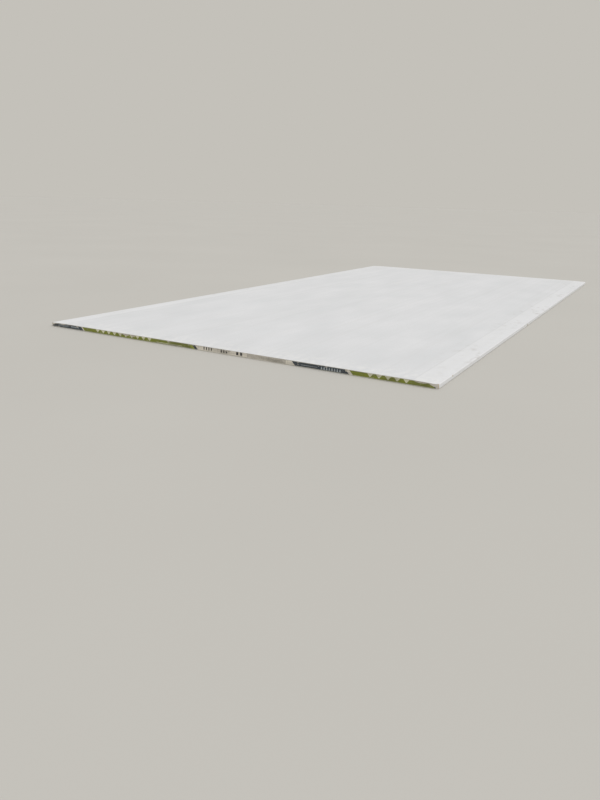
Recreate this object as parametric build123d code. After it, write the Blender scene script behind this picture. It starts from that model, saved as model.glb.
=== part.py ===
"""A sheet of half-inch gypsum wallboard, 4 ft by 8 ft, lying on its back with the finished face up.

The sheet is one laminated piece, made and sawn as one: a gypsum core that is cast between a face
paper, which wraps both long edges, and a back paper. Its section is pressed thinner along the two
long edges, on the face side only, to leave room there for joint tape and filler. Each short end
is sawn square, and carries what the knife has left of a printed paper tape: a strip slit just
under the face, bent round the bottom arris and folded onto the back.

Millimetres. X runs across the sheet, Y along it and Z up. The origin is on the back, under the
middle of the sheet.
"""
from build123d import *

import os

# The sheet's stock size
sheet_width = 1219.2
sheet_length = 2438.4
sheet_thickness = 12.7

# The long edges: the taper pressed into the face, the soft knee where it starts, and the arrises
# round which the face paper is folded
taper_width = 60.0
taper_depth = 1.5
knee_radius = 800.0
face_arris_radius = 2.0
back_arris_radius = 1.5

# The end tape: how far it stops short of the long edges and of the face, and how far it is folded
# onto the back, into which it is let by its own thickness
tape_thickness = 0.3
tape_corner_gap = 6.0
tape_slit_drop = 0.6
tape_fold_width = 20.0

half_width = sheet_width / 2
half_length = sheet_length / 2
edge_thickness = sheet_thickness - taper_depth
tape_width = sheet_width - 2 * tape_corner_gap


def sheet_section():
    """The sheet's section, in X and Z: a flat back, upright bound edges and a tapered face."""
    knee_x = half_width - taper_width
    corner_radii = {
        (-half_width, 0): back_arris_radius,
        (half_width, 0): back_arris_radius,
        (half_width, edge_thickness): face_arris_radius,
        (knee_x, sheet_thickness): knee_radius,
        (-knee_x, sheet_thickness): knee_radius,
        (-half_width, edge_thickness): face_arris_radius,
    }
    return make_face(FilletPolyline(*corner_radii, radius=corner_radii.values(), close=True))


def tape_fold():
    """The flap of the front tape that lies under the sheet. Its solid is also the seat it lies in."""
    flap = Box(tape_width, tape_fold_width, tape_thickness, align=(Align.CENTER, Align.MIN, Align.MIN))
    return Pos(0, -half_length, 0) * flap


def tape_leg():
    """The upright part of the front tape, which follows the sheet's section under its face."""
    span = Rectangle(tape_width, sheet_thickness, align=(Align.CENTER, Align.MIN))
    covered = span & (Pos(0, -tape_slit_drop) * sheet_section())
    return extrude(Plane.XZ.offset(half_length) * covered, tape_thickness)


def end_tape():
    """The front tape: leg and fold in one, bent tight round the sheet's bottom arris."""
    tape = tape_leg() + tape_fold()
    outer_edges = tape.edges().filter_by(Axis.X).group_by(Axis.Y)[0]
    bend = outer_edges.sort_by(Axis.Z)[0]
    return fillet(bend, tape_thickness)


def gypsum_board():
    """The sheet: its section run from end to end, with a shallow seat for each tape's fold."""
    board = extrude(Plane.XZ * sheet_section(), half_length, both=True)
    seat = tape_fold()
    return board - seat - mirror(seat, about=Plane.XZ)


front_tape = end_tape()
nodes = {
    "gypsum_board": gypsum_board(),
    "end_tape_front": front_tape,
    "end_tape_rear": mirror(front_tape, about=Plane.XZ),
}

os.makedirs("parts", exist_ok=True)
for name, shape in nodes.items():
    export_step(shape, f"parts/{name}.step")
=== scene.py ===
import math
import random

import bpy
from mathutils import Matrix, Vector, noise


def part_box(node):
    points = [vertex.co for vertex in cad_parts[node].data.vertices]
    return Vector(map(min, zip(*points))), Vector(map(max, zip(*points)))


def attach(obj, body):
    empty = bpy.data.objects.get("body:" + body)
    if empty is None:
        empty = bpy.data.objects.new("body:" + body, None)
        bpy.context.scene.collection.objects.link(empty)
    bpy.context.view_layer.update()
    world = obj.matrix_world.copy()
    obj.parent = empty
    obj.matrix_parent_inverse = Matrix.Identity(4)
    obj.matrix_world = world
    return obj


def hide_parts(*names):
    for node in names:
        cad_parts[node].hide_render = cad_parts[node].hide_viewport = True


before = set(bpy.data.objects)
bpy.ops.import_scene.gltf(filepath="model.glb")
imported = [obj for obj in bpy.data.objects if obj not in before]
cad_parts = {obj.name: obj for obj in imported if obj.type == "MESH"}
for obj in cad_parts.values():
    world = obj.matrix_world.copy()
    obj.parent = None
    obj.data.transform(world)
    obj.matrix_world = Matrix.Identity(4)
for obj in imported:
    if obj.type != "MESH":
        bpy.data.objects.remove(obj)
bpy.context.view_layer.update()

# The board. A foamed gypsum slurry is cast between two papers on a moving belt: the white face
# paper is folded round both long edges while the core sets, the grey liner is laid over its flaps
# to close the back, and the strip is then sawn to length, so that only the short ends show gypsum.

mm = 0.001
tape_low, tape_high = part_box("end_tape_front")
half_width, half_length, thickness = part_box("gypsum_board")[1]
tape_half_width = tape_high.x
tape_thickness = -half_length - tape_low.y
fold_reach = tape_high.y + half_length

taper_width, taper_depth, knee_radius = 60 * mm, 1.5 * mm, 800 * mm
face_arris, back_arris = 2.0 * mm, 1.5 * mm
taper_slope = taper_depth / taper_width
knee_x = half_width - taper_width
knee_reach = knee_radius * math.tan(math.atan(taper_slope) / 2)
arris_x = half_width - face_arris

ply = 0.35 * mm
liner_step = 0.2 * mm
liner_edge = half_width - 15 * mm
sliver = 0.1 * mm


def face_height(x):
    """Height of the face: level, then eased into the taper, then round the arris to the edge."""
    x = abs(x)
    if x < knee_x - knee_reach:
        return thickness
    if x < knee_x + knee_reach:
        return thickness - knee_radius + math.sqrt(knee_radius**2 - (x - knee_x + knee_reach) ** 2)
    taper = thickness - taper_slope * (x - knee_x)
    if x < arris_x:
        return taper
    centre = thickness - taper_slope * (arris_x - knee_x) - face_arris * math.hypot(1, taper_slope)
    return min(taper, centre + math.sqrt(max(face_arris**2 - (x - arris_x) ** 2, 0)))


def back_height(x, y):
    """Height of the back: the seat of the tape's fold, else the liner, its step and the arris."""
    x, y = abs(x), abs(y)
    if x < tape_half_width and y > half_length - fold_reach - sliver / 2:
        return tape_thickness
    past_arris = max(x - half_width + back_arris, 0)
    height = back_arris - math.sqrt(max(back_arris**2 - past_arris**2, 0))
    return height + liner_step if x > liner_edge else height


# Knocks from handling along each long edge: side, place, height, width and depth
dice = random.Random(12)
knocks_a_side, deepest_knock = 8, 1.1 * mm
knocks = [
    (
        side,
        dice.uniform(-0.97, 0.97) * half_length,
        dice.uniform(2, 10) * mm,
        dice.uniform(3, 9) * mm,
        dice.uniform(0.3 * mm, deepest_knock),
    )
    for side in (-1, 1)
    for _ in range(knocks_a_side)
]
# The corners, which are crushed a little: side, end and depth
crushed = [(1, -1, 2.2 * mm), (-1, -1, 1.4 * mm), (1, 1, 1.4 * mm), (-1, 1, 2.6 * mm)]
knock_tall, knock_reach = 4 * mm, 3 * mm
crush_reach, deepest_crush, crush_lean = 7 * mm, 3 * mm, 0.7


def bruise(x, y, z):
    """How far the knocks and crushed corners push a point in, and how bruised it is, up to 1."""
    push, mark = Vector(), 0.0
    for side, at_y, at_z, wide, deep in knocks:
        inward, along, up = half_width - side * x, (y - at_y) / wide, (z - at_z) / knock_tall
        if inward < 3 * knock_reach and abs(along) < 3:
            near = math.exp(-(along**2) - up**2 - (inward / knock_reach) ** 2)
            push.x -= side * deep * near
            mark = max(mark, near * deep / deepest_knock)
    for side, end, deep in crushed:
        away = math.hypot(x - side * half_width, y - end * half_length)
        near = math.exp(-((away / crush_reach) ** 2))
        push -= Vector((crush_lean * side, end, 0)) * deep * near
        mark = max(mark, near * deep / deepest_crush)
    return push, min(mark, 1.0)


def spread(low, high, count):
    """Evenly spaced values from low up to high, without high itself."""
    return [low + (high - low) * step / count for step in range(count)]


# The mesh's columns across the board and its rings along it: far apart on the flat, and close
# where the section bends, where a paper or the tape's seat begins, at the knocks and at the ends
half_columns = (
    spread(0, knee_x - knee_reach, 12)
    + spread(knee_x - knee_reach, knee_x + knee_reach, 4)
    + spread(knee_x + knee_reach, liner_edge, 5)
    + [liner_edge]
    + spread(liner_edge + sliver, tape_half_width - sliver, 3)
    + [tape_half_width - sliver]
    + spread(tape_half_width, arris_x, 8)
    + [arris_x + face_arris * math.sin(math.radians(turn)) for turn in range(0, 91, 15)]
)
columns = [-x for x in half_columns[:0:-1]] + half_columns
end_zone, end_rim = 100 * mm, 4 * mm
half_rings = (
    spread(0, half_length - end_zone, 38)
    + spread(half_length - end_zone, half_length - fold_reach - sliver, 6)
    + [half_length - fold_reach - sliver]
    + spread(half_length - fold_reach, half_length - end_rim, 6)
    + spread(half_length - end_rim, half_length, 5)
    + [half_length]
)
rings = [-y for y in half_rings[:0:-1]] + half_rings
for _, at_y, _, wide, _ in knocks:
    rings += [at_y + wide * step for step in (-1.6, -1.1, -0.7, -0.35, 0, 0.35, 0.7, 1.1, 1.6)]
rings = sorted(y for y in set(rings) if abs(y) <= half_length)
layers = 12

# The sawn gypsum lies behind the papers' edges, with a fine grain, and has crumbled at the corners
# that the tape leaves bare
core_recess = 0.22 * mm
grain, grain_depth = 0.9 * mm, 0.12 * mm
crumb, crumb_depth = 2.4 * mm, 1.1 * mm


def board_point(i, j, k):
    """A point of the board by its column, layer and ring, and how bruised it is there."""
    x, y = columns[i], rings[k]
    low, high = back_height(x, y), face_height(x)
    core = low + ply + (high - low - 2 * ply) * (j - 1) / (layers - 2)
    z = low if j == 0 else high if j == layers else core
    push, mark = bruise(x, y, z)
    if abs(y) == half_length:
        end = math.copysign(1, y)
        rough = noise.noise(Vector((x, z, end)) / grain) * grain_depth
        inset = max(rough, 0)
        if 0 < j < layers and 0 < i < len(columns) - 1:
            inset += core_recess + rough
        if abs(x) > tape_half_width:
            inset += max(noise.noise(Vector((x, z, end)) / crumb), 0) * crumb_depth
        push.y -= end * inset
    return Vector((x, y, z)) + push, mark


# How the board's sides are laid out flat for its baked finish: face, edges and back side by side
# over the sawn ends, where the edges and the ends have more room than their size alone gives
flat_sides = {
    "face": (0.002, 0.472),
    "right edge": (0.476, 0.494),
    "back": (0.498, 0.968),
    "left edge": (0.972, 0.990),
}
flat_ends = {"front end": (0.002, 0.020), "rear end": (0.023, 0.041)}
flat_ends_top = 0.045


def flat_place(side, i, j, k):
    """Where a point of the board lies on the flat map of the side that it is seen on."""
    across = (columns[i] + half_width) / (2 * half_width)
    if side in flat_ends:
        low, high = flat_ends[side]
        return (across + i / (len(columns) - 1)) / 2, low + (high - low) * j / layers
    left, right = flat_sides[side]
    share = across if side in ("face", "back") else j / layers
    along = (rings[k] + half_length) / (2 * half_length)
    return left + (right - left) * share, flat_ends_top + (1 - flat_ends_top) * along


def build_board():
    """The board's mesh: a skin run through every ring, closed by the two sawn ends."""
    last_column, last_ring = len(columns) - 1, len(rings) - 1
    rim = [(i, layers) for i in range(last_column)]
    rim += [(last_column, j) for j in range(layers, 0, -1)]
    rim += [(i, 0) for i in range(last_column, 0, -1)]
    rim += [(0, j) for j in range(layers)]
    number, points, marks = {}, [], []
    faces, finishes, flat = [], [], []
    face_paper, liner, gypsum = range(3)

    def corner(*spot):
        """The number of the mesh's point at a column, layer and ring, made where it is new."""
        if spot not in number:
            number[spot] = len(points)
            point, mark = board_point(*spot)
            points.append(point)
            marks.append(mark)
        return number[spot]

    def close(side, finish_number, *spots):
        """Adds a face with its finish and its place on the flat map."""
        faces.append([corner(*spot) for spot in spots])
        finishes.append(finish_number)
        flat.extend(flat_place(side, *spot) for spot in spots)

    for k in range(last_ring):
        for one, other in zip(rim, rim[1:] + rim[:1]):
            side, paper = "left edge", face_paper
            if one[1] == other[1] == layers:
                side = "face"
            elif one[0] == other[0] == last_column:
                side = "right edge"
            elif one[1] == other[1] == 0:
                side = "back"
                if abs(columns[one[0]] + columns[other[0]]) / 2 < liner_edge + sliver:
                    paper = liner
            close(side, paper, (*one, k), (*other, k), (*other, k + 1), (*one, k + 1))
    for side, k in (("front end", 0), ("rear end", last_ring)):
        for i in range(last_column):
            for j in range(layers):
                wrapped = i in (0, last_column - 1) or j == layers - 1
                shown = face_paper if wrapped else liner if j == 0 else gypsum
                spots = [(i, j, k), (i + 1, j, k), (i + 1, j + 1, k), (i, j + 1, k)]
                close(side, shown, *(spots if k == 0 else spots[::-1]))
    mesh = bpy.data.meshes.new("drywall_board")
    mesh.from_pydata(points, [], faces)
    mesh.polygons.foreach_set("material_index", finishes)
    flat_map = mesh.uv_layers.new(name="OFBake")
    flat_map.data.foreach_set("uv", [value for place in flat for value in place])
    mesh.attributes.new("bruise", "FLOAT", "POINT").data.foreach_set("value", marks)
    mesh.polygons.foreach_set("use_smooth", [True] * len(faces))
    mesh.set_sharp_from_angle(angle=math.radians(35))
    mesh.update()
    return mesh


def linear(code):
    """A colour socket's value from an sRGB hex code."""
    channels = [int(code[place : place + 2], 16) / 255 for place in (1, 3, 5)]
    return [c / 12.92 if c <= 0.04045 else ((c + 0.055) / 1.055) ** 2.4 for c in channels] + [1]


def per(*lengths):
    """What a place is multiplied by, so that a pattern's lumps are so many mm along X, Y and Z."""
    return [1 / (length * mm) for length in lengths]


def add(owner, kind, *values, named=None, **settings):
    """Adds a node with its settings. Each value goes on the next input in use, or on the named one,
    and where it is a node or a socket, that is linked."""
    made = owner.node_tree.nodes.new("ShaderNode" + kind)
    for name, value in settings.items():
        setattr(made, name, value)
    inputs = [socket for socket in made.inputs if socket.enabled]
    given = [*zip(inputs, values)]
    given += [(made.inputs[name], value) for name, value in (named or {}).items()]
    for socket, value in given:
        if isinstance(value, bpy.types.Node):
            value = next(output for output in value.outputs if output.enabled)
        if isinstance(value, bpy.types.NodeSocket):
            owner.node_tree.links.new(value, socket)
        else:
            socket.default_value = value
    return made


def start(name):
    """A new material with no nodes, and the node that gives a place on the object in metres."""
    material = bpy.data.materials.new(name)
    material.use_nodes = True
    material.node_tree.nodes.clear()
    return material, add(material, "TexCoord").outputs["Object"]


def finish(material, colour, roughness, height, relief, **fixed):
    """The shader and the output, with a bump whose full relief is given in metres."""
    bump = add(material, "Bump", named={"Height": height, "Distance": relief})
    sockets = {"Base Color": colour, "Roughness": roughness, "Normal": bump, **fixed}
    add(material, "OutputMaterial", add(material, "BsdfPrincipled", named=sockets))
    return material


def white_face_paper():
    """White face paper: a bleached top ply, rolled smooth but never sealed. It is matt and almost
    white, with faint streaks and fibres along the belt, grey scuffs, and saw dust at the ends."""
    paper, at = start("white_face_paper")
    place = add(paper, "SeparateXYZ", at)
    from_axis = add(paper, "Math", place.outputs["X"], operation="ABSOLUTE")
    from_middle = add(paper, "Math", place.outputs["Y"], operation="ABSOLUTE")

    # Each pattern's name, the size of its lumps in mm along X, Y and Z, and its detail. The fibres
    # are drawn much coarser than real ones, so that they show.
    pattern = {}
    for name, lumps, detail in (
        ("clouds", (110, 240, 110), 3.0),
        ("fibres", (1.2, 7, 1.2), 4.0),
        ("streaks", (16, 1500, 16), 2.0),
        ("smudges", (22, 40, 12), 8.0),
        ("patches", (330, 330, 330), 1.0),
        ("powder", (14, 26, 14), 8.0),
        ("shreds", (1.8, 2.6, 1.8), 5.0),
    ):
        stretched = add(paper, "VectorMath", at, per(*lumps), operation="MULTIPLY")
        pattern[name] = add(paper, "TexNoise", stretched, 1.0, detail)

    # The bare paper, with what lies over it: pattern, where it starts and is full, most and tint
    tone = add(paper, "MapRange", pattern["clouds"], 0.3, 0.7)
    colour = add(paper, "Mix", tone, linear("#dadbdc"), linear("#e2e2e3"), data_type="RGBA")
    for name, first, full, most, tint in (
        ("fibres", 0.35, 0.75, 0.30, "#d0cfcc"),
        ("streaks", 0.45, 0.75, 0.26, "#d2d1cf"),
    ):
        share = add(paper, "MapRange", pattern[name], first, full, 0.0, most)
        colour = add(paper, "Mix", share, colour, linear(tint), data_type="RGBA")

    # The belt's edge strips press the tapers, so their paper is closer and paler; the paler band is also
    # painted light, standing in for the shading of the taper's slope. The faint grey line along the knee
    # is painted shade where the face bends into the taper.
    blur, line_reach = 4 * mm, 3 * mm
    pressed = add(paper, "MapRange", from_axis, knee_x - blur, knee_x + blur, 0.0, 0.4)
    colour = add(paper, "Mix", pressed, colour, linear("#e6e6e6"), data_type="RGBA")
    from_knee = add(paper, "Math", from_axis, knee_x, operation="SUBTRACT")
    from_knee = add(paper, "Math", from_knee, operation="ABSOLUTE")
    knee_shade = add(paper, "MapRange", from_knee, 0.0, line_reach, 0.30, 0.0)
    colour = add(paper, "Mix", knee_shade, colour, linear("#c6c5c3"), data_type="RGBA")

    # The creases where the paper was scored to fold round the edge: a fine grey line at the foot of each
    # arris, painted as the shade in the crease
    crease_shade_reach = 0.4 * mm
    on_edge = add(paper, "MapRange", from_axis, half_width - 1.2 * mm, half_width - 0.5 * mm)
    for height in (back_arris, thickness - taper_depth - face_arris):
        from_crease = add(paper, "Math", place.outputs["Z"], height, operation="SUBTRACT")
        from_crease = add(paper, "Math", from_crease, operation="ABSOLUTE")
        crease = add(paper, "MapRange", from_crease, 0.0, crease_shade_reach, 0.35, 0.0)
        crease = add(paper, "Math", crease, on_edge, operation="MULTIPLY")
        colour = add(paper, "Mix", crease, colour, linear("#a5a29c"), data_type="RGBA")

    # Grime from handling, which gathers towards the long edges
    grime_reach = 110 * mm
    handled = add(paper, "MapRange", from_axis, half_width - grime_reach, half_width, 0.0, 0.45)
    touched = add(paper, "MapRange", pattern["patches"], 0.42, 0.62)
    handled = add(paper, "Math", handled, touched, operation="MULTIPLY")
    smudged = add(paper, "MapRange", pattern["smudges"], 0.52, 0.70)
    grime = add(paper, "Math", smudged, handled, operation="MULTIPLY")
    colour = add(paper, "Mix", grime, colour, linear("#a9a39a"), data_type="RGBA")

    # Scuffs from sliding: thin lines at two angles, in patches on the face. They are drawn a little
    # wider than real ones, so that they show.
    edge_height = thickness - taper_depth
    on_face = add(paper, "MapRange", place.outputs["Z"], edge_height - 0.8 * mm, edge_height - 0.2 * mm)
    slid = add(paper, "MapRange", pattern["patches"], 0.48, 0.62)
    scuffed = add(paper, "Math", on_face, slid, operation="MULTIPLY")
    for degrees, lumps in ((28, (240, 1.6, 240)), (-64, (180, 1.3, 180))):
        turn = {"Vector": at, "Angle": math.radians(degrees)}
        turned = add(paper, "VectorRotate", named=turn, rotation_type="Z_AXIS")
        stretched = add(paper, "VectorMath", turned, per(*lumps), operation="MULTIPLY")
        lines = add(paper, "TexNoise", stretched, 1.0, 2.0)
        lines = add(paper, "MapRange", lines, 0.69, 0.76, 0.0, 0.4)
        scuffs = add(paper, "Math", lines, scuffed, operation="MULTIPLY")
        colour = add(paper, "Mix", scuffs, colour, linear("#a3a19d"), data_type="RGBA")

    # Gypsum dust, swept out from the saw cuts
    dust_reach = 100 * mm
    near_saw = add(paper, "MapRange", from_middle, half_length - dust_reach, half_length, 0.0, 0.6)
    swept = add(paper, "MapRange", pattern["powder"], 0.46, 0.66)
    dust = add(paper, "Math", swept, near_saw, operation="MULTIPLY")
    colour = add(paper, "Mix", dust, colour, linear("#ecebe7"), data_type="RGBA")

    # Where a knock has broken the top ply, the tan plies show through
    bruised = add(paper, "Attribute", attribute_name="bruise").outputs["Fac"]
    broken = add(paper, "Math", pattern["shreds"], 0.9, bruised, operation="MULTIPLY_ADD")
    broken = add(paper, "MapRange", broken, 0.94, 1.0)
    colour = add(paper, "Mix", broken, colour, linear("#b8a78e"), data_type="RGBA")
    roughness = add(paper, "MapRange", pattern["clouds"], 0.3, 0.7, 0.72, 0.82)
    relief = add(paper, "Math", pattern["streaks"], 0.6, pattern["fibres"], operation="MULTIPLY_ADD")
    return finish(paper, colour, roughness, relief, 0.05 * mm, IOR=1.5)


def grey_liner_paper():
    """Grey liner paper: a back ply of unbleached waste paper. It is duller and browner than the
    face, with pale fibres, dark flecks and faint streaks that all lie along the belt."""
    paper, at = start("grey_liner_paper")

    # The lumps and detail of each pattern, with the fibres and flecks again drawn coarse
    pattern = {}
    for name, lumps, detail in (
        ("clouds", (45, 130, 45), 3.0),
        ("fibres", (1.0, 6, 1.0), 4.0),
        ("flecks", (0.9, 2.5, 0.9), 1.0),
        ("streaks", (9, 900, 9), 3.0),
    ):
        stretched = add(paper, "VectorMath", at, per(*lumps), operation="MULTIPLY")
        pattern[name] = add(paper, "TexNoise", stretched, 1.0, detail)
    tone = add(paper, "MapRange", pattern["clouds"], 0.3, 0.7)
    colour = add(paper, "Mix", tone, linear("#a49a8a"), linear("#b2a898"), data_type="RGBA")
    for name, first, full, most, tint in (
        ("fibres", 0.40, 0.80, 0.50, "#c4bbab"),
        ("flecks", 0.68, 0.76, 0.70, "#6f685d"),
        ("streaks", 0.50, 0.75, 0.25, "#8f8678"),
    ):
        share = add(paper, "MapRange", pattern[name], first, full, 0.0, most)
        colour = add(paper, "Mix", share, colour, linear(tint), data_type="RGBA")

    # Paste squeezed out along both laps has dried to a thin dark line at the liner's edge
    paste_reach = 2.5 * mm
    from_axis = add(paper, "Math", add(paper, "SeparateXYZ", at).outputs["X"], operation="ABSOLUTE")
    paste = add(paper, "MapRange", from_axis, liner_edge - paste_reach, liner_edge, 0.0, 0.6)
    colour = add(paper, "Mix", paste, colour, linear("#8a806f"), data_type="RGBA")
    roughness = add(paper, "MapRange", pattern["clouds"], 0.3, 0.7, 0.82, 0.90)
    relief = add(paper, "Math", pattern["streaks"], 1.5, pattern["fibres"], operation="MULTIPLY_ADD")
    return finish(paper, colour, roughness, relief, 0.08 * mm, IOR=1.5)


def sawn_gypsum():
    """Sawn gypsum: the foamed core as the end saw leaves it. It is grey-buff and powdery, pricked
    with foam bubbles about 1 mm apart, whose hollows are painted dark as their shade, and lightly
    scored upright by the blade. Beside the long edges and under the papers it is cast denser: paler,
    and almost without bubbles. The paler tone beside the long edges is also painted light."""
    plaster, at = start("sawn_gypsum")
    place = add(plaster, "SeparateXYZ", at)
    bubbles = add(plaster, "VectorMath", at, per(1.1, 1.1, 1.1), operation="MULTIPLY")
    bubbles = add(plaster, "TexVoronoi", bubbles, 1.0)
    scores = add(plaster, "VectorMath", at, per(0.5, 20, 9), operation="MULTIPLY")
    scores = add(plaster, "TexNoise", scores, 1.0, 2.0)
    clouds = add(plaster, "VectorMath", at, per(6, 6, 3), operation="MULTIPLY")
    clouds = add(plaster, "TexNoise", clouds, 1.0, 4.0)

    # How dense it is cast, and so how pale: from the hard edges inwards, and in a thin skin under
    # each paper. Beside the long edges the pale tone is also painted light, as the crushed corners catch
    # it.
    hard_width, hard_core = 34 * mm, 12 * mm
    from_axis = add(plaster, "Math", place.outputs["X"], operation="ABSOLUTE")
    dense_and_lit = add(plaster, "MapRange", from_axis, half_width - hard_width, half_width - hard_core, 0.0, 0.8)
    for first, full in ((1.4 * mm, 0.7 * mm), (thickness - 1.6 * mm, thickness - 0.9 * mm)):
        skin = add(plaster, "MapRange", place.outputs["Z"], first, full, 0.0, 0.8)
        dense_and_lit = add(plaster, "Math", dense_and_lit, skin, operation="MAXIMUM")
    walls_outside_pit_shade = add(plaster, "MapRange", bubbles, 0.12, 0.34)
    walls_outside_pit_shade = add(plaster, "Math", walls_outside_pit_shade, dense_and_lit, operation="MAXIMUM")

    tone = add(plaster, "MapRange", clouds, 0.3, 0.7)
    colour = add(plaster, "Mix", tone, linear("#b1a896"), linear("#cec7b8"), data_type="RGBA")
    # Paler where it is cast denser; beside the long edges this is also painted light
    colour = add(plaster, "Mix", dense_and_lit, colour, linear("#ddd8ce"), data_type="RGBA")
    scored = add(plaster, "MapRange", scores, 0.55, 0.75, 0.0, 0.4)
    colour = add(plaster, "Mix", scored, colour, linear("#e4e0d7"), data_type="RGBA")
    # The bubbles' hollows are painted dark, as the shade inside them
    colour = add(plaster, "Mix", walls_outside_pit_shade, linear("#857c6b"), colour, data_type="RGBA")
    relief = add(plaster, "Math", scores, 0.3, walls_outside_pit_shade, operation="MULTIPLY_ADD")
    return finish(plaster, colour, 0.93, relief, 0.35 * mm, IOR=1.52)


board = bpy.data.objects.new("drywall_board", build_board())
bpy.context.collection.objects.link(board)
for made in (white_face_paper(), grey_liner_paper(), sawn_gypsum()):
    board.data.materials.append(made)
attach(board, "root")
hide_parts("gypsum_board")

# The end tapes. Printed kraft paper is glued over each sawn end, and slit along the face when the
# board is unpacked. What stays on it is an upright strip that ends raggedly under the face, bent
# round the bottom arris and folded 20 mm onto the back.

slit_drop = thickness - tape_high.z
strip_paper = 0.14 * mm
strip_slack = tape_thickness - strip_paper
fold_inset, fold_ragged, fold_lift = 0.5 * mm, 0.25 * mm, 0.06 * mm
ravel_reach, ravel_depth = 6 * mm, 1.5 * mm
leg_rows = [0, 0.35 * mm, 0.9 * mm]
leg_steps, bend_steps, fold_steps = 6, 3, 6

# The strip's flat map: seven lengths of it one over another, and its two cut ends above them
flat_rows, steps_in_row = 7, 157
flat_gap, fold_squeeze, glued_squeeze = 2.0 * mm, 1 / 2, 1 / 8
left_cap_at, right_cap_at = 45, 1


def tears_of(seed):
    """Where the strip's upper edge is torn lower: the place, half width and depth of each tear.
    The last two are at its ends."""
    dice = random.Random(seed)
    places = [dice.uniform(-0.95, 0.95) * tape_half_width for _ in range(11)]
    tears = [(place, dice.uniform(3, 16) * mm, dice.uniform(1.2, 5.5) * mm) for place in places]
    for side in (-1, 1):
        tears.append((side * tape_half_width, dice.uniform(6, 15) * mm, dice.uniform(3, 7) * mm))
    return tears


def slit_edge(x, seed, tears):
    """Height of the strip's upper edge at x: finely ragged all along, and lower at each tear."""
    ragged = noise.noise(Vector((x / (1.7 * mm), seed, 0))) * 0.22 * mm
    ragged += noise.noise(Vector((x / (9 * mm), seed, 5))) * 0.30 * mm
    torn = 0.0
    for place, wide, deep in tears:
        off = abs(x - place) / wide
        if off < 1:
            jagged = 0.35 * noise.noise(Vector((x / (2.6 * mm), seed, 11)))
            torn = max(torn, deep * (math.sqrt(1 - off) + jagged * (1 - off)))
    return face_height(x) - slit_drop - max(ragged, -0.4 * mm) - torn


def wrinkle(x, girth, seed):
    """How far the strip lies in from its highest ridges, 0 to 1: slack folds and sharp creases."""
    slack = noise.noise(Vector((x / (26 * mm), girth / (40 * mm), seed)))
    crease = abs(noise.noise(Vector(((x + girth * 0.8) / (11 * mm), girth / (30 * mm), seed + 3))))
    fine = abs(noise.noise(Vector(((x - girth) / (4.5 * mm), girth / (9 * mm), seed + 7))))
    return min(max(0.67 + 0.55 * slack - 0.45 * crease - 0.25 * fine, 0), 1)


def strip_profile(x, seed, tears):
    """The strip's outer side at x, from the slit edge to the edge of the fold. Each point has its
    distance out from the sawn end, its height, the slope of the paper there and how far it is
    from a torn edge in mm."""
    top = slit_edge(x, seed, tears)
    leg = top - leg_rows[-1] - tape_thickness
    heights = [top - drop for drop in leg_rows]
    heights += [top - leg_rows[-1] - leg * step / leg_steps for step in range(1, leg_steps + 1)]
    profile = []
    for z in heights:
        out = tape_thickness - strip_slack * wrinkle(x, z, seed)
        profile.append((out, z, 0.0, (top - z) / mm))
    for step in range(1, bend_steps + 1):
        slope = math.pi / 2 * step / bend_steps
        radius = tape_thickness - strip_slack * wrinkle(x, 0, seed) * math.cos(slope)
        z = tape_thickness - radius * math.sin(slope)
        profile.append((radius * math.cos(slope), z, slope, (top - z) / mm))
    reach = fold_reach - fold_inset + noise.noise(Vector((x / (3 * mm), seed, 2))) * fold_ragged
    for step in range(1, fold_steps + 1):
        inward = reach * step / fold_steps
        lift = fold_lift * wrinkle(x, -inward, seed)
        profile.append((-inward, lift, math.pi / 2, (reach - inward) / mm))
    return profile


def flat_girth():
    """How far round the strip each of its points lies on the flat map, from the slit edge out and
    back. The fold is pressed to half its width there, and the glued side, which never shows, more."""
    sound = [Vector(point[:2]) for point in strip_profile(0, 0, ())]
    gaps = [(after - before).length for before, after in zip(sound, sound[1:])]
    gaps[-fold_steps:] = [gap * fold_squeeze for gap in gaps[-fold_steps:]]
    steps = gaps + [flat_gap / 4] + [gap * glued_squeeze for gap in gaps[::-1]] + [flat_gap / 4]
    return [sum(steps[:count]) for count in range(len(steps) + 1)]


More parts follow.
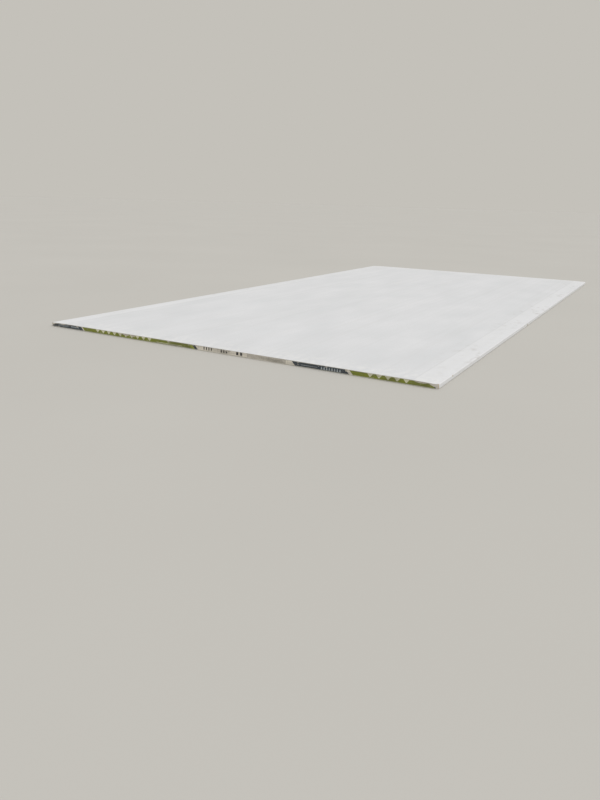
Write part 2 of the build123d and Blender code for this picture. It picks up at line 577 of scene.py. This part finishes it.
def build_strip(name, end, seed):
    """One tape as a closed thin sheet: its outer side, its glued side and its four cut edges."""
    tears = tears_of(seed)
    steps = flat_rows * steps_in_row
    points, from_tears = [], []
    for step in range(steps + 1):
        x = tape_half_width * (2 * step / steps - 1)
        outer, glued = [], []
        from_end = tape_half_width - abs(x)
        for out, z, slope, from_tear in strip_profile(x, seed, tears):
            ravel_at = Vector((z / (2.2 * mm), out / (4 * mm), seed + math.copysign(1, x)))
            pull = max(1 - from_end / ravel_reach, 0) * noise.noise(ravel_at) * ravel_depth
            x_here = x + math.copysign(min(pull, 0), x)
            outer.append(Vector((x_here, end * (half_length + out), z)))
            inner, above = out - strip_paper * math.cos(slope), z + strip_paper * math.sin(slope)
            glued.append(Vector((x_here, end * (half_length + inner), above)))
            from_tears.append(min(from_tear, from_end / mm))
        from_tears += from_tears[: -len(outer) - 1 : -1]
        points += outer + glued[::-1]
    ring = len(points) // (steps + 1)
    girth = flat_girth()
    row_height = girth[-1] + flat_gap
    flat_width = 2 * tape_half_width / flat_rows + 2 * flat_gap
    flat_height = flat_rows * row_height + 2 * flat_gap
    faces, flat = [], []

    def close(corners, places):
        """Adds a face and its place on the flat map, turned over on the rear end."""
        faces.append(corners if end < 0 else corners[::-1])
        for u, v in places if end < 0 else places[::-1]:
            flat.extend((u / flat_width, v / flat_height))

    for step in range(steps):
        left = flat_gap + (step % steps_in_row) * 2 * tape_half_width / steps
        right = left + 2 * tape_half_width / steps
        base = step // steps_in_row * row_height
        for row in range(ring):
            first, after = step * ring + row, step * ring + (row + 1) % ring
            low, high = base + girth[row], base + girth[row + 1]
            places = [(left, low), (left, high), (right, high), (right, low)]
            close([first, after, after + ring, first + ring], places)
    for step, cap_at in ((0, left_cap_at), (steps, right_cap_at)):
        for row in range(ring // 2 - 1):
            first, last = step * ring + row, step * ring + ring - 1 - row
            left, low = flat_gap * (2 * row + cap_at), flat_rows * row_height
            right, high = left + flat_gap, low + flat_gap
            cap = [first, last, last - 1, first + 1]
            places = [(left, low), (right, low), (right, high), (left, high)]
            close(cap if step == 0 else cap[::-1], places)
    mesh = bpy.data.meshes.new(name)
    mesh.from_pydata(points, [], faces)
    mesh.uv_layers.new(name="OFBake").data.foreach_set("uv", flat)
    mesh.attributes.new("torn", "FLOAT", "POINT").data.foreach_set("value", from_tears)
    mesh.polygons.foreach_set("use_smooth", [True] * len(faces))
    mesh.set_sharp_from_angle(angle=math.radians(50))
    mesh.update()
    return mesh


def printed_kraft_tape():
    """Printed kraft tape: bleached paper with flat press inks in olive green, slate and bare
    cream. The ink is half matt, cracks pale at creases and the bend, where the pale line is also a
    painted highlight, and rubs off to the paper."""
    tape, at = start("printed_kraft_tape")
    green, slate, cream, lime = (linear(code) for code in ("#848c1a", "#2f3c47", "#ece5d6", "#a3ad3c"))
    pale, fog, black, grey = (linear(code) for code in ("#e9e7c6", "#b1b9bb", "#26262a", "#928c84"))
    place = add(tape, "SeparateXYZ", at)
    end = add(tape, "Math", place.outputs["Y"], operation="SIGN")

    # Along runs from left to right as each end is seen from outside it, and up from the arris to
    # the slit, or down onto the fold, both in mm. The two ends show different parts of the print.
    repeat, rear_shift = 1207.0, 530.0
    rightward = add(tape, "Math", place.outputs["X"], end, operation="MULTIPLY")
    rightward = add(tape, "Math", rightward, -1 / mm, operation="MULTIPLY")
    shift = add(tape, "Math", end, rear_shift / 2, (repeat + rear_shift) / 2, operation="MULTIPLY_ADD")
    along = add(tape, "Math", rightward, shift, operation="ADD")
    from_middle = add(tape, "Math", place.outputs["Y"], operation="ABSOLUTE")
    inward = add(tape, "Math", half_length, from_middle, operation="SUBTRACT")
    folded = add(tape, "Math", inward, 0.0, operation="MAXIMUM")
    up = add(tape, "Math", place.outputs["Z"], folded, operation="SUBTRACT")
    up = add(tape, "Math", up, 1 / mm, operation="MULTIPLY")

    # The fields of colour, each with its length, cut on a slant
    fields = (
        (slate, 128), (cream, 7), (green, 402), (lime, 6), (slate, 10),
        (cream, 296), (slate, 150), (cream, 7), (green, 201),
    )
    slant = 0.9
    slanted = add(tape, "Math", up, slant, along, operation="MULTIPLY_ADD")
    turns = add(tape, "Math", slanted, repeat, operation="DIVIDE")
    colour = add(tape, "ValToRGB", add(tape, "Math", turns, operation="FRACT"))
    stops = colour.color_ramp.elements
    colour.color_ramp.interpolation = "CONSTANT"
    begun = 0
    for number, (field, length) in enumerate(fields):
        stop = stops[number] if number < 2 else stops.new(begun / repeat)
        stop.position, stop.color = begun / repeat, field
        begun += length

    # Plain marks in rows on the fields: ink, where the row starts and ends, its pitch, the heights
    # of a mark's foot and head, and its width at each
    rows = (
        (pale, 178, 398, 22, (3.5, 14.0), (2, 19)),
        (pale, 410, 505, 95, (3.0, 4.4), (90, 90)),
        (pale, 1040, 1150, 22, (3.5, 14.0), (2, 19)),
        (fog, 22, 70, 48, (8.2, 9.3), (44, 44)),
        (fog, 22, 70, 48, (5.2, 6.1), (44, 44)),
        (fog, 78, 112, 5.6, (5.2, 9.3), (3.2, 3.2)),
        (fog, 868, 916, 48, (5.2, 6.1), (44, 44)),
        (fog, 922, 978, 7, (2.6, 9.3), (4.4, 1.6)),
        (black, 572, 604, 8, (3.6, 14.0), (2.6, 4.4)),
        (black, 628, 652, 8, (3.6, 14.0), (4.4, 2.6)),
        (black, 676, 700, 12, (3.6, 14.0), (7.0, 7.0)),
        (grey, 712, 826, 2.6, (2.0, 14.0), (1.2, 1.2)),
    )
    here = add(tape, "Math", along, repeat, operation="DIVIDE")
    here = add(tape, "Math", here, operation="FRACT")
    here = add(tape, "Math", here, repeat, operation="MULTIPLY")
    for ink, first, last, pitch, (foot, head), (foot_width, head_width) in rows:
        from_gap = add(tape, "Math", here, first, operation="SUBTRACT")
        from_gap = add(tape, "Math", from_gap, pitch / 2, operation="PINGPONG")
        gap = add(tape, "MapRange", up, foot, head, (pitch - foot_width) / 2, (pitch - head_width) / 2)
        inked = add(tape, "Math", from_gap, gap, operation="GREATER_THAN")
        in_row = add(tape, "Math", here, (first + last) / 2, (last - first) / 2, operation="COMPARE")
        in_height = add(tape, "Math", up, (foot + head) / 2, (head - foot) / 2, operation="COMPARE")
        for limit in (in_row, in_height):
            inked = add(tape, "Math", inked, limit, operation="MULTIPLY")
        colour = add(tape, "Mix", inked, colour, ink, data_type="RGBA")

    # Age and wear, one over another: pale fibres, drawn coarse so that they show, grime, stains,
    # dirt smeared along the strip, painted shade in the creases of the puckers, rubbed ink and
    # streaks from sliding. Each has the size of its lumps in mm along X, Y and Z, its detail, where
    # it starts and is full, its most and its tint.
    pattern = {}
    for name, lumps, detail, first, full, most, tint in (
        ("fibres", (1.5, 1.5, 0.6), 4.0, 0.56, 0.80, 0.20, "#c6c3b4"),
        ("clouds", (34, 34, 14), 4.0, 0.40, 0.72, 0.12, "#7d776b"),
        ("stains", (60, 60, 20), 5.0, 0.50, 0.68, 0.42, "#544e40"),
        ("smears", (48, 48, 1.8), 5.0, 0.50, 0.70, 0.40, "#4b4740"),
        # The puckers' dark tint is painted shade in their creases
        ("puckers_and_shade", (2.6, 2.6, 26), 2.0, 0.56, 0.72, 0.30, "#3c3a32"),
        ("rubs", (11, 11, 4), 6.0, 0.62, 0.70, 0.75, "#cfc9be"),
        ("slides", (26, 26, 0.9), 3.0, 0.62, 0.72, 0.55, "#bfbab0"),
    ):
        stretched = add(tape, "VectorMath", at, per(*lumps), operation="MULTIPLY")
        pattern[name] = add(tape, "TexNoise", stretched, 1.0, detail)
        share = add(tape, "MapRange", pattern[name], first, full, 0.0, most)
        colour = add(tape, "Mix", share, colour, linear(tint), data_type="RGBA")

    # The ink is worn off in a ragged line along the bend, which is paler also as a painted
    # highlight of the bend, and the paper is pale where it is torn
    bend_height = 0.8
    waver = add(tape, "MapRange", pattern["fibres"], 0.0, 1.0, -0.5, 0.5)
    from_bend = add(tape, "Math", up, bend_height, operation="SUBTRACT")
    from_bend = add(tape, "Math", from_bend, waver, operation="ADD")
    from_bend = add(tape, "Math", from_bend, operation="ABSOLUTE")
    worn_and_highlit = add(tape, "MapRange", from_bend, 0.45, 1.05, 0.85, 0.0)
    colour = add(tape, "Mix", worn_and_highlit, colour, linear("#cfccc0"), data_type="RGBA")
    torn = add(tape, "Attribute", attribute_name="torn").outputs["Fac"]
    fringe = add(tape, "Math", pattern["fibres"], -1.6, torn, operation="MULTIPLY_ADD")
    fringe = add(tape, "MapRange", fringe, -0.60, 0.20, 1.0, 0.0)
    colour = add(tape, "Mix", fringe, colour, linear("#dedad0"), data_type="RGBA")
    roughness = add(tape, "MapRange", pattern["clouds"], 0.3, 0.7, 0.50, 0.66)
    relief = add(tape, "Math", pattern["puckers_and_shade"], 4.0, pattern["fibres"], operation="MULTIPLY_ADD")
    return finish(tape, colour, roughness, relief, 0.04 * mm, IOR=1.5)


kraft = printed_kraft_tape()
for name, node, end, seed in (
    ("end_tape_print_front", "end_tape_front", -1, 3),
    ("end_tape_print_rear", "end_tape_rear", 1, 21),
):
    strip = bpy.data.objects.new(name, build_strip(name, end, seed))
    bpy.context.collection.objects.link(strip)
    strip.data.materials.append(kraft)
    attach(strip, "root")
    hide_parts(node)

# The studio: a pale painted floor that the sheet lies on, a surround of the same colour, a soft
# even light from all round, and one broad lamp high on the right, a little behind.

floor_reach = 60.0
corners = [(x * floor_reach, y * floor_reach, 0) for x, y in ((-1, -1), (1, -1), (1, 1), (-1, 1))]
floor_mesh = bpy.data.meshes.new("studio_floor")
floor_mesh.from_pydata(corners, [], [(0, 1, 2, 3)])
floor = bpy.data.objects.new("studio_floor", floor_mesh)
bpy.context.collection.objects.link(floor)

# Rolled floor paint: matt, with a broad faint mottle and the roller's stipple
paint, at = start("studio_floor_paint")
mottle = add(paint, "VectorMath", at, per(900, 900, 900), operation="MULTIPLY")
mottle = add(paint, "TexNoise", mottle, 1.0, 3.0)
stipple = add(paint, "VectorMath", at, per(4, 4, 4), operation="MULTIPLY")
stipple = add(paint, "TexNoise", stipple, 1.0, 3.0)
tone = add(paint, "Mix", mottle, linear("#c0bdb6"), linear("#c7c4bd"), data_type="RGBA")
floor.data.materials.append(finish(paint, tone, 0.85, stipple, 0.05 * mm))

world = bpy.data.worlds.new("studio_surround")
bpy.context.scene.world = world
world.use_nodes = True
world.node_tree.nodes.clear()
path = add(world, "LightPath").outputs
mirrored = add(world, "Math", path["Is Glossy Ray"], path["Is Transmission Ray"], operation="MAXIMUM")
seen = add(world, "Math", path["Is Camera Ray"], mirrored, operation="MAXIMUM")
surround = add(world, "Background", linear("#c4c1ba"), 1.0)
sky = add(world, "Background", linear("#ffffff"), 0.67)
add(world, "OutputWorld", add(world, "MixShader", seen, sky, surround))

toward_lamp = Vector((0.52, 0.12, 0.84))
lamp = bpy.data.lights.new("broad_lamp", "SUN")
lamp.energy = 1.20
lamp.angle = math.radians(25)
held = bpy.data.objects.new("broad_lamp", lamp)
held.rotation_euler = toward_lamp.to_track_quat("Z", "Y").to_euler()
bpy.context.collection.objects.link(held)

# The camera: held low in front of the sheet's right corner, tipped down and a little askew. Its
# place is from the middle of the sheet on the floor.

camera_place = Vector((1.014, -2.55, 0.385))
camera_turns = ((29.35, "Z"), (72.94, "X"), (1.54, "Z"))
focal_pixels, frame_pixels = 650.0, 800.0
lens = bpy.data.cameras.new("low_camera")
lens.sensor_width = 36.0
lens.lens = focal_pixels / frame_pixels * lens.sensor_width
lens.clip_start = 0.01
camera = bpy.data.objects.new("low_camera", lens)
aim = Matrix.Translation(camera_place)
for degrees, axis in camera_turns:
    aim = aim @ Matrix.Rotation(math.radians(degrees), 4, axis)
camera.matrix_world = aim
bpy.context.collection.objects.link(camera)
bpy.context.scene.camera = camera

bpy.context.scene.view_settings.view_transform = "Standard"
